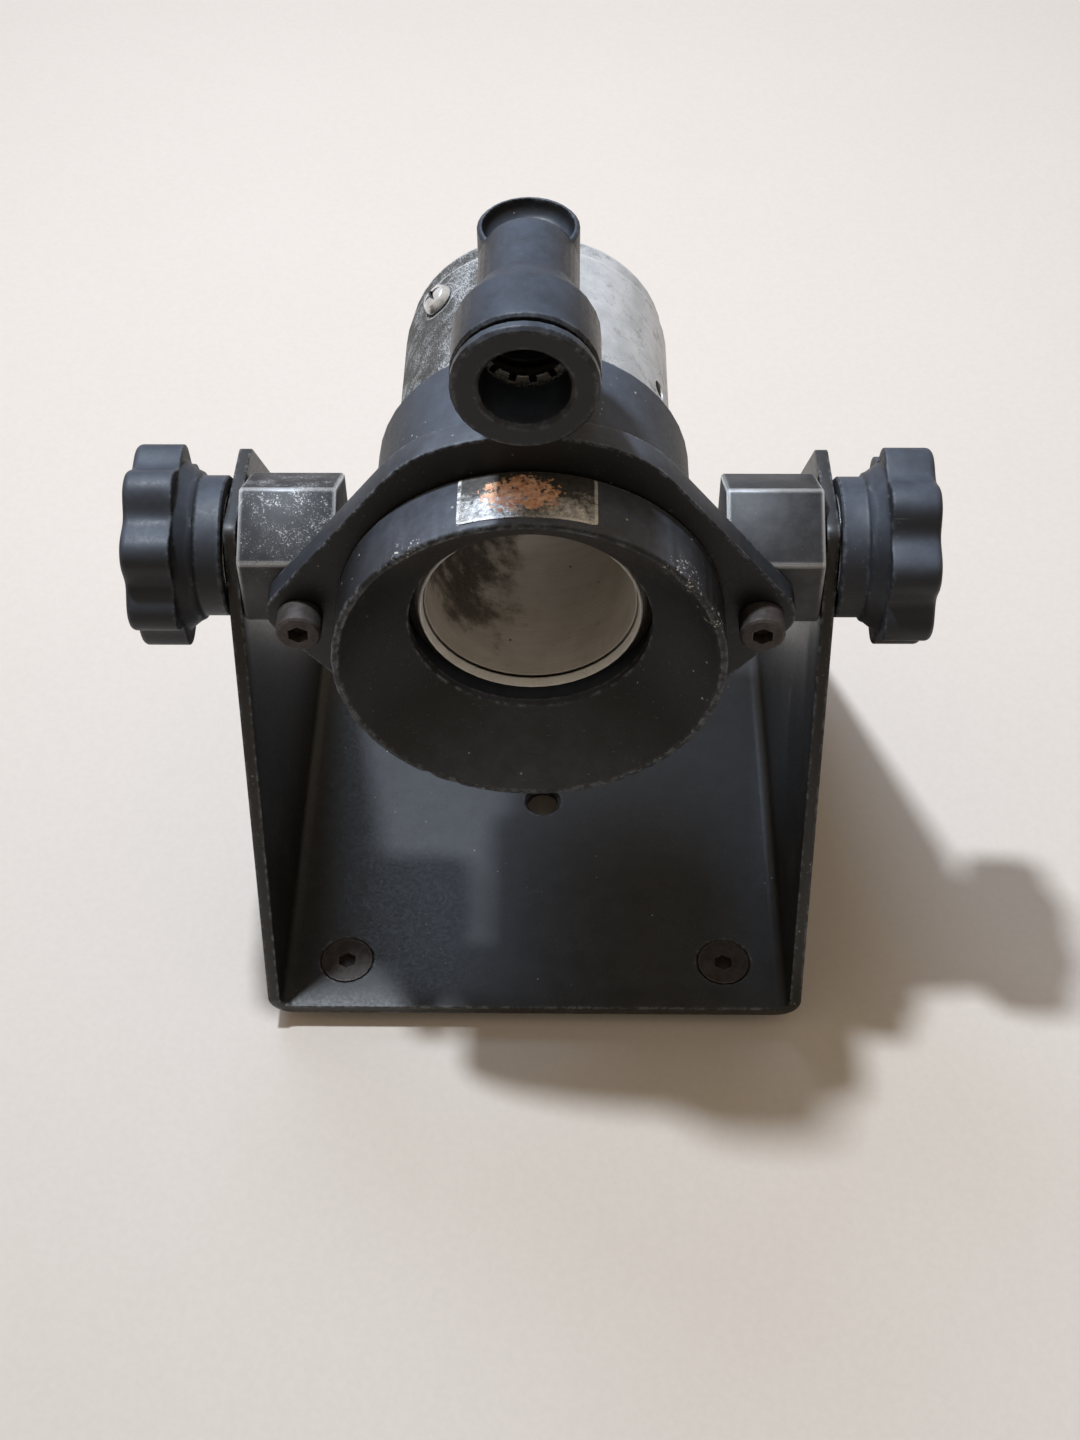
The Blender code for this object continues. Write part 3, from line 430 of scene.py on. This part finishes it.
def rusty_steel():
    """Brown oxide over steel, paler where a key or a thumb has rubbed it."""
    f = Finish("rusty_steel", 0.62, 0.3)
    cloud = f.noise(1.8 * MM, 5, 0.7)
    base = f.blend(f.band(cloud, 0.35, 0.66), (0.032, 0.025, 0.024), (0.064, 0.055, 0.055))
    fine = f.noise(0.28 * MM, 4, 0.7, seed=3.0)
    base = f.blend(f.times(f.band(fine, 0.55, 0.72), 0.6), base, (0.05, 0.035, 0.030))
    rub = f.times(f.edges(0.4 * MM),
                  f.band(f.noise(0.8 * MM, 4, 0.7, seed=9.0), 0.32, 0.58), 0.5)
    base = f.blend(rub, base, (0.30, 0.26, 0.25))
    # Painted shade: darker in hollows and beside other pieces.
    base = f.blend(f.times(f.corners(1.6 * MM), 0.75), base, (0.018, 0.013, 0.012))
    f.paint(base)
    f.gloss(f.band(f.plus(fine, rub), 0.3, 1.2, 0.68, 0.45))
    f.relief(f.plus(fine, cloud), 0.05 * MM, 0.3 * MM)
    return f.material


def bright_steel():
    """Plated steel, a little uneven, with painted shade in its recesses."""
    tint = (0.86, 0.87, 0.90)
    f = Finish("bright_steel", 0.22, 0.7)
    cloud = f.noise(1.6 * MM, 4, 0.6)
    base = f.blend(f.band(cloud, 0.35, 0.65), tuple(0.8 * c for c in tint), tint)
    # Painted shade: darker in recesses and beside other pieces.
    base = f.blend(f.times(f.corners(1.2 * MM), 0.9), base, (0.05, 0.045, 0.04))
    f.paint(base)
    f.gloss(f.band(f.noise(0.5 * MM, 4, 0.7, seed=2.0), 0.3, 0.7, 0.16, 0.36))
    f.relief(cloud, 0.01 * MM, 0.15 * MM)
    return f.material


def brass():
    """Tarnished brass, darker in its corners with painted shade."""
    f = Finish("brass", 0.35, 1.0)
    cloud = f.noise(2.5 * MM, 5, 0.65)
    base = f.blend(f.band(cloud, 0.35, 0.65), (0.42, 0.29, 0.12), (0.66, 0.50, 0.25))
    # Painted shade: darker in corners and beside other pieces.
    base = f.blend(f.times(f.corners(2 * MM), 0.8), base, (0.08, 0.055, 0.03))
    f.paint(base)
    f.gloss(f.band(cloud, 0.3, 0.7, 0.28, 0.5))
    f.relief(cloud, 0.01 * MM, 0.3 * MM)
    return f.material


def rubber():
    """Dull black rubber."""
    f = Finish("rubber", 0.8)
    cloud = f.noise(3 * MM, 5, 0.6)
    f.paint(f.blend(f.band(cloud, 0.35, 0.65), (0.012, 0.012, 0.012), (0.030, 0.029, 0.027)))
    f.gloss(f.band(cloud, 0.3, 0.7, 0.7, 0.9))
    f.relief(f.noise(0.25 * MM, 3), 0.02 * MM, 0.3 * MM)
    return f.material


# ---------------------------------------------------------------- shapes

def piece(name, mesh, node, finish, smooth_angle=SMOOTH_ANGLE):
    """A new piece that stands for a CAD node and moves with its body."""
    made = bpy.data.objects.new(name, mesh)
    bpy.context.scene.collection.objects.link(made)
    mesh.materials.clear()
    mesh.materials.append(finish)
    mesh.shade_smooth()
    mesh.set_sharp_from_angle(angle=math.radians(smooth_angle))
    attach(made, BODY_OF[node])
    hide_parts(node)
    return made


def keep_node(node, finish):
    """A CAD node that stays: a better finish, and smooth shading on its round faces."""
    obj = NODES[node]
    obj.data.materials[0] = finish
    if "custom_normal" in obj.data.attributes:
        obj.data.attributes.remove(obj.data.attributes["custom_normal"])
    obj.data.shade_smooth()
    weld = obj.modifiers.new("weld", "WELD")
    weld.merge_threshold = 2e-6
    split = obj.modifiers.new("crisp", "EDGE_SPLIT")
    split.split_angle = math.radians(SMOOTH_ANGLE)
    split.use_edge_sharp = False


def fillet(corners):
    """The closed outline through (x, y, radius) corners, each replaced by an arc."""
    points = []
    count = len(corners)
    for i, (x, y, radius) in enumerate(corners):
        here = Vector((x, y))
        if radius <= 0:
            points.append(here)
            continue
        before = (Vector(corners[i - 1][:2]) - here).normalized()
        after = (Vector(corners[(i + 1) % count][:2]) - here).normalized()
        half = before.angle(after) / 2
        centre = here + (before + after).normalized() * radius / math.sin(half)
        first = here + before * radius / math.tan(half) - centre
        last = here + after * radius / math.tan(half) - centre
        sweep = first.angle_signed(last)
        for k in range(ARC_STEPS + 1):
            points.append(centre + Matrix.Rotation(-sweep * k / ARC_STEPS, 2) @ first)
    return points


def ring_mesh(name, rows, closed, matrix):
    """Faces between rows of points that go round.

    closed joins the last row to the first. Otherwise a flat face ends the shape at each.
    """
    bm = bmesh.new()
    loops = [[bm.verts.new(matrix @ Vector(p)) for p in row] for row in rows]
    pairs = list(zip(loops, loops[1:]))
    if closed:
        pairs.append((loops[-1], loops[0]))
    count = len(rows[0])
    for near, far in pairs:
        for i in range(count):
            j = (i + 1) % count
            bm.faces.new((near[i], near[j], far[j], far[i]))
    if not closed:
        for loop in (loops[0], loops[-1]):
            bm.faces.new(loop)
    bmesh.ops.recalc_face_normals(bm, faces=bm.faces)
    mesh = bpy.data.meshes.new(name)
    bm.to_mesh(mesh)
    bm.free()
    return mesh


def lathe_mesh(name, outline, matrix, steps, wobble):
    """Turn a closed (radius, height) outline round local Z; wobble then moves each point."""
    rows = []
    for radius, height in outline:
        row = []
        for i in range(steps):
            angle = 2 * math.pi * i / steps
            point = Vector((radius * math.cos(angle), radius * math.sin(angle), height))
            row.append(wobble(point, angle))
        rows.append(row)
    return ring_mesh(name, rows, True, matrix)


def reach(node):
    """Rear and front station of a head node, and its inner and outer radius about the bore."""
    to_head = HEAD.inverted()
    points = [to_head @ v.co for v in NODES[node].data.vertices]
    radii = [math.hypot(p.x, p.y) for p in points]
    return min(p.z for p in points), max(p.z for p in points), min(radii), max(radii)


def chips(seed, count, around, spread, size):
    """Places of small dents, as (angle, depth, half width), gathered round given angles."""
    rng = random.Random(seed)
    return [(rng.gauss(rng.choice(around), spread), rng.uniform(0.25, 1.0) * size,
             rng.uniform(0.008, 0.03)) for _ in range(count)]


def make_mouth_ring(finish):
    """Concave intake ring: a thin front edge, knocked here and there, round a smooth cone."""
    back, front, throat, outer = reach("mouth_ring")
    lip = outer - 1.0 * MM
    throat_front = back + 1.4 * MM
    corners = [(outer, back, 0.3 * MM), (throat, back, 0.0)]
    steps = 14
    for i in range(steps + 1):
        part = i / steps
        bulge = 0.7 * MM * math.sin(math.pi * part)
        radius = throat + (lip - throat) * part + bulge
        corners.append((radius, throat_front + (front - throat_front) * part, 0.0))
    corners[-1] = (*corners[-1][:2], 0.25 * MM)
    corners.append((outer, front, 0.55 * MM))
    dents = chips(seed=5, count=46, around=(0.9, 2.4, 4.2, 5.6), spread=0.9, size=0.22 * MM)
    knocked_width = 1.0 * MM

    def wobble(point, angle):
        radius = math.hypot(point.x, point.y)
        edge = max(0.0, 1 - math.hypot(radius - outer, point.z - front) / knocked_width)
        if edge <= 0:
            return point
        depth = 0.0
        for centre, deepest, width in dents:
            apart = (angle - centre + math.pi) % math.tau - math.pi
            depth += deepest * math.exp(-(apart / width) ** 2)
        inward = Vector((-point.x / radius, -point.y / radius, -1.0))
        return point + inward * depth * edge

    mesh = lathe_mesh("intake_ring", fillet(corners), HEAD, RING_STEPS, wobble)
    return piece("intake_ring", mesh, "mouth_ring", finish)


def lobed_radius(angle, radius, depth, phase):
    """The knob's outline: its lobes reach the radius, and the hollows between them are deep."""
    wave = 0.5 + 0.5 * math.cos(KNOB_LOBES * (angle - phase))
    return radius - depth * (1 - wave) ** 1.2


def make_knob(side, word, finish):
    """A lobed clamp knob: a long hub, a tapered inner face, and eight broad lobes."""
    node = f"knob_{word}"
    outward = Matrix.Translation(TILT) @ Matrix.Rotation(math.radians(90 * side), 4, "Y")
    points = [outward.inverted() @ v.co for v in NODES[node].data.vertices]
    start, end = min(p.z for p in points), max(p.z for p in points)
    radius = max(math.hypot(p.x, p.y) for p in points)
    tip = max(points, key=lambda p: math.hypot(p.x, p.y))
    phase = math.atan2(tip.y, tip.x)
    hub = 11.0 * MM
    hub_end = start + 4.2 * MM
    hub_blend = 0.6 * MM
    blend_start = hub_end - 0.5 * MM
    taper = 2.5 * MM
    taper_start = hub + 0.4 * MM
    taper_end = 13.3 * MM
    depth = 2.2 * MM
    bore = 3.3 * MM
    bore_end = end - 4.0 * MM
    pocket = 8.8 * MM
    pocket_floor = start + 0.7 * MM
    hub_chamfer = 0.3 * MM
    corner = 0.35 * MM
    rim = 1.1 * MM
    dimple_edge = 7.0 * MM
    dimple_floor = end - 0.4 * MM
    rows = []

    def inner_face(r):
        """Height of the tapered face behind the lobes, at a radius."""
        share = min(1.0, max(0.0, (r - taper_start) / (taper_end - taper_start)))
        return hub_end + 0.1 * MM + taper * share

    def row(place):
        rows.append([place(2 * math.pi * i / KNOB_STEPS) for i in range(KNOB_STEPS)])

    def round_row(r, z):
        row(lambda angle: (r * math.cos(angle), r * math.sin(angle), z))

    def lobed_row(inset, height):
        """A row just inside the lobed outline, at a height that depends on the inner face."""
        def place(angle):
            out = lobed_radius(angle, radius, depth, phase)
            r = out - inset
            return (r * math.cos(angle), r * math.sin(angle), height(inner_face(out)))
        row(place)

    def inner_row(part):
        """A row on the inner face, part of the way from the hub out to the lobes."""
        def place(angle):
            out = lobed_radius(angle, radius, depth, phase) - corner
            r = hub + hub_blend + (out - hub - hub_blend) * part
            return (r * math.cos(angle), r * math.sin(angle), inner_face(r))
        row(place)

    def outer_row(part):
        """A row on the flat outer face, part of the way from the rim in to the dimple."""
        def place(angle):
            out = lobed_radius(angle, radius, depth, phase) - rim
            r = out + (dimple_edge - out) * part
            return (r * math.cos(angle), r * math.sin(angle), end)
        row(place)

    for r, z in ((bore, bore_end), (bore, pocket_floor), (pocket, pocket_floor), (pocket, start),
                 (hub - hub_chamfer, start), (hub, start + hub_chamfer), (hub, blend_start)):
        round_row(r, z)
    for part in (0.25, 0.5, 0.75, 1.0):
        round_row(hub + hub_blend * part ** 2, blend_start + hub_blend * part)
    for k in range(1, 11):
        inner_row(k / 10)
    for k in range(1, 5):
        turned = math.radians(22.5 * k)
        lobed_row(corner * (1 - math.sin(turned)),
                  lambda face, t=turned: face + corner * (1 - math.cos(t)) * 0.8)
    for k in range(7):
        turned = math.radians(15 * k)
        lobed_row(rim * (1 - math.cos(turned)), lambda face, t=turned: end - rim + rim * math.sin(t))
    for part in (0.12, 0.35, 0.6):
        outer_row(part)
    for r, z in ((6.6 * MM, end), (6.3 * MM, end - 0.12 * MM), (6.0 * MM, end - 0.35 * MM),
                 (5.4 * MM, dimple_floor), (2.0 * MM, dimple_floor), (0.4 * MM, dimple_floor)):
        round_row(r, z)
    mesh = ring_mesh(f"clamp_knob_{word}", rows, False, outward)
    return piece(f"clamp_knob_{word}", mesh, node, finish, KNOB_SMOOTH_ANGLE)


def make_label(finish):
    """Foil bent round the top of the ring, its corners a little worn off."""
    ring = reach("mouth_ring")[3]
    near, far = reach("label")[:2]
    half = math.asin(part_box("label")[1].x / (ring + 0.2 * MM))
    underside = 0.02 * MM
    top = 0.10 * MM
    ripple_height = 0.05 * MM
    across, along = 60, 24
    bm = bmesh.new()
    layers = []
    for lift in (underside, top):
        grid = []
        for i in range(across + 1):
            u = i / across
            row = []
            for k in range(along + 1):
                v = k / along
                # 0 over most of the foil, rising to 1 at its four corners.
                end_share = max(0.0, abs(u - 0.5) * 2 - 0.93) / 0.07
                side_share = max(0.0, abs(v - 0.5) * 2 - 0.88) / 0.12
                corner = end_share * side_share
                side = near + (far - near) * (v + (0.5 - v) * 0.05 * corner)
                angle = half * (2 * u - 1) * (1 - 0.012 * corner)
                r = ring + lift
                if lift == top:
                    r += ripple_height * (0.5 + 0.5 * noise.noise(Vector((u * 9, v * 5, 0.3))))
                place = HEAD @ Vector((r * math.sin(angle), r * math.cos(angle), side))
                row.append(bm.verts.new(place))
            grid.append(row)
        layers.append(grid)
    for grid in layers:
        for i in range(across):
            for k in range(along):
                bm.faces.new((grid[i][k], grid[i + 1][k], grid[i + 1][k + 1], grid[i][k + 1]))
    lower, upper = layers
    border = ([(i, 0) for i in range(across)] + [(across, k) for k in range(along)]
              + [(i, along) for i in range(across, 0, -1)] + [(0, k) for k in range(along, 0, -1)])
    for (i, k), (m, n) in zip(border, border[1:] + border[:1]):
        bm.faces.new((lower[i][k], lower[m][n], upper[m][n], upper[i][k]))
    bmesh.ops.recalc_face_normals(bm, faces=bm.faces)
    mesh = bpy.data.meshes.new("foil_label")
    bm.to_mesh(mesh)
    bm.free()
    return piece("foil_label", mesh, "label", finish)


def label_foil():
    """Worn silver foil with what is left of an orange oval, and no lettering."""
    f = Finish("label_foil", 0.4, 0.6)
    forward = TILT.y
    crumple = f.noise(0.9 * MM, 6, 0.75, distortion=0.3)
    silver = f.blend(f.band(crumple, 0.36, 0.64), (0.30, 0.295, 0.29), (0.72, 0.71, 0.69))
    rear = f.band(f.axis("Y"), forward - 22.5 * MM, forward - 17.0 * MM)
    dirt = f.band(f.plus(f.noise(1.8 * MM, 6, 0.8, seed=6.0), f.times(rear, 0.30)), 0.46, 0.66)
    base = f.blend(f.times(dirt, 0.9), silver, (0.040, 0.037, 0.037))
    # A bare bright border along the two ends and the front.
    side = f.band(f.math("ABSOLUTE", f.axis("X")), 9.2 * MM, 9.5 * MM)
    front = f.band(f.axis("Y"), forward - 24.6 * MM, forward - 24.9 * MM)
    border = f.times(f.math("MAXIMUM", side, front),
                     f.band(f.noise(0.9 * MM, 4, 0.7, seed=12.0), 0.36, 0.52))
    base = f.blend(border, base, (0.72, 0.71, 0.70))
    # The oval, on the bent surface seen from above.
    x = f.math("DIVIDE", f.plus(f.axis("X"), 1.0 * MM), 5.6 * MM)
    y = f.math("DIVIDE", f.plus(f.axis("Y"), 20.4 * MM - forward), 3.6 * MM)
    away = f.math("SQRT", f.plus(f.times(x, x), f.times(y, y)))
    ragged = f.plus(away, f.band(f.noise(1.0 * MM, 5, 0.75, seed=2.0), 0.3, 0.7, -0.35, 0.35))
    oval = f.band(ragged, 1.0, 0.86)
    kept = f.times(oval, f.band(f.noise(0.7 * MM, 4, 0.7, seed=4.0), 0.62, 0.50))
    orange = f.blend(f.band(crumple, 0.35, 0.65), (0.60, 0.24, 0.12), (0.95, 0.62, 0.42))
    base = f.blend(kept, base, orange)
    f.paint(base)
    f.metal(f.times(f.invert(kept), 0.7))
    f.gloss(f.band(f.plus(crumple, dirt), 0.4, 1.4, 0.25, 0.6))
    f.relief(crumple, 0.06 * MM)
    return f.material


# ---------------------------------------------------------------- putting it together

PAINT = worn_black("black_paint", (0.0085, 0.008, 0.0073), (0.014, 0.0130, 0.0115),
                   roughness=0.38, edge_wear_and_highlight=0.85, dust=0.55, lines=("Z", 0.65), speck=0.14,
                   dust_and_sheen_color=(0.052, 0.056, 0.066))
ANODISED = worn_black("black_anodised", SOOT, PALER_SOOT, roughness=0.44, edge_wear_and_highlight=0.90, dust=0.65,
                      lines=("Y", 0.70), speck=0.15, dust_and_sheen_color=BLUE_DUST_AND_SHEEN, specular=0.3)
# The ring is knocked at three places of its front edge, each with its reach.
RING_KNOCKS = (
    (TILT + Vector((0.022, -0.0265, 0.0185)), 5 * MM),
    (TILT + Vector((0.027, -0.0265, 0.0100)), 3 * MM),
    (TILT + Vector((-0.017, -0.0265, 0.0235)), 4 * MM),
)
RING = worn_black("ring_anodised", SOOT, PALER_SOOT, roughness=0.44, edge_wear_and_highlight=1.0, dust=0.65,
                  lines=("X", 0.68), speck=0.18, dust_and_sheen_color=BLUE_DUST_AND_SHEEN, specular=0.3,
                  knocks=RING_KNOCKS)
HOUSING = worn_black("black_housing", (0.016, 0.018, 0.0225), (0.025, 0.0275, 0.034),
                     roughness=0.50, edge_wear_and_highlight=0.60, dust=0.60, lines=("X", 0.70), speck=0.20,
                     dust_and_sheen_color=BLUER_DUST_AND_SHEEN)
KNOB = worn_black("knob_plastic", (0.013, 0.0145, 0.0185), (0.018, 0.0195, 0.0245),
                  roughness=0.46, edge_wear_and_highlight=0.45, dust=0.45, lines=("X", 0.74), speck=0.08,
                  dust_and_sheen_color=BLUER_DUST_AND_SHEEN, grain=0.015, specular=0.3)
FITTING = worn_black("fitting_plastic", (0.0065, 0.0068, 0.0078), (0.011, 0.0115, 0.0135),
                     roughness=0.38, edge_wear_and_highlight=0.40, dust=0.50, lines=("Y", 0.73), speck=0.08,
                     dust_and_sheen_color=(0.085, 0.112, 0.165), grain=0.012, specular=0.35)
RUST = rusty_steel()
STEEL = bright_steel()
BRASS = brass()
RUBBER = rubber()
SLEEVE = sleeve_metal()
BORE = bore_metal()
LIP = lip_metal()

make_camera()
make_light()
make_floor()
make_mouth_ring(RING)
make_knob(-1, "left", KNOB)
make_knob(1, "right", KNOB)
make_label(label_foil())

KEPT = {
    "bracket": PAINT, "mounting_flange": ANODISED, "body_housing": HOUSING, "rear_sleeve": SLEEVE,
    "rear_collar": SLEEVE, "inner_tube": BORE, "nozzle_ring": LIP, "gap_shim": BRASS,
    "o_ring_front": RUBBER, "o_ring_rear": RUBBER, "sleeve_screw_1": STEEL, "sleeve_screw_2": STEEL,
    "set_screw": RUST, "trunnion_left": trunnion_steel("trunnion_left", 0.14),
    "trunnion_right": trunnion_steel("trunnion_right", 0.02), "flange_screw_left": RUST,
    "flange_screw_right": RUST, "knob_stud_left": STEEL, "knob_stud_right": STEEL,
    "knob_washer_left": STEEL, "knob_washer_right": STEEL, "elbow_stem": BRASS, "stem_seal": RUBBER,
    "stem_o_ring": RUBBER, "elbow_body": FITTING, "tube_o_ring": RUBBER, "grab_ring": STEEL,
    "release_collar": FITTING,
}
for corner in ("front_left", "front_right", "rear_left", "rear_right"):
    KEPT[f"foot_{corner}"] = RUBBER
    KEPT[f"base_screw_{corner}"] = RUST
for node, finish in KEPT.items():
    keep_node(node, finish)
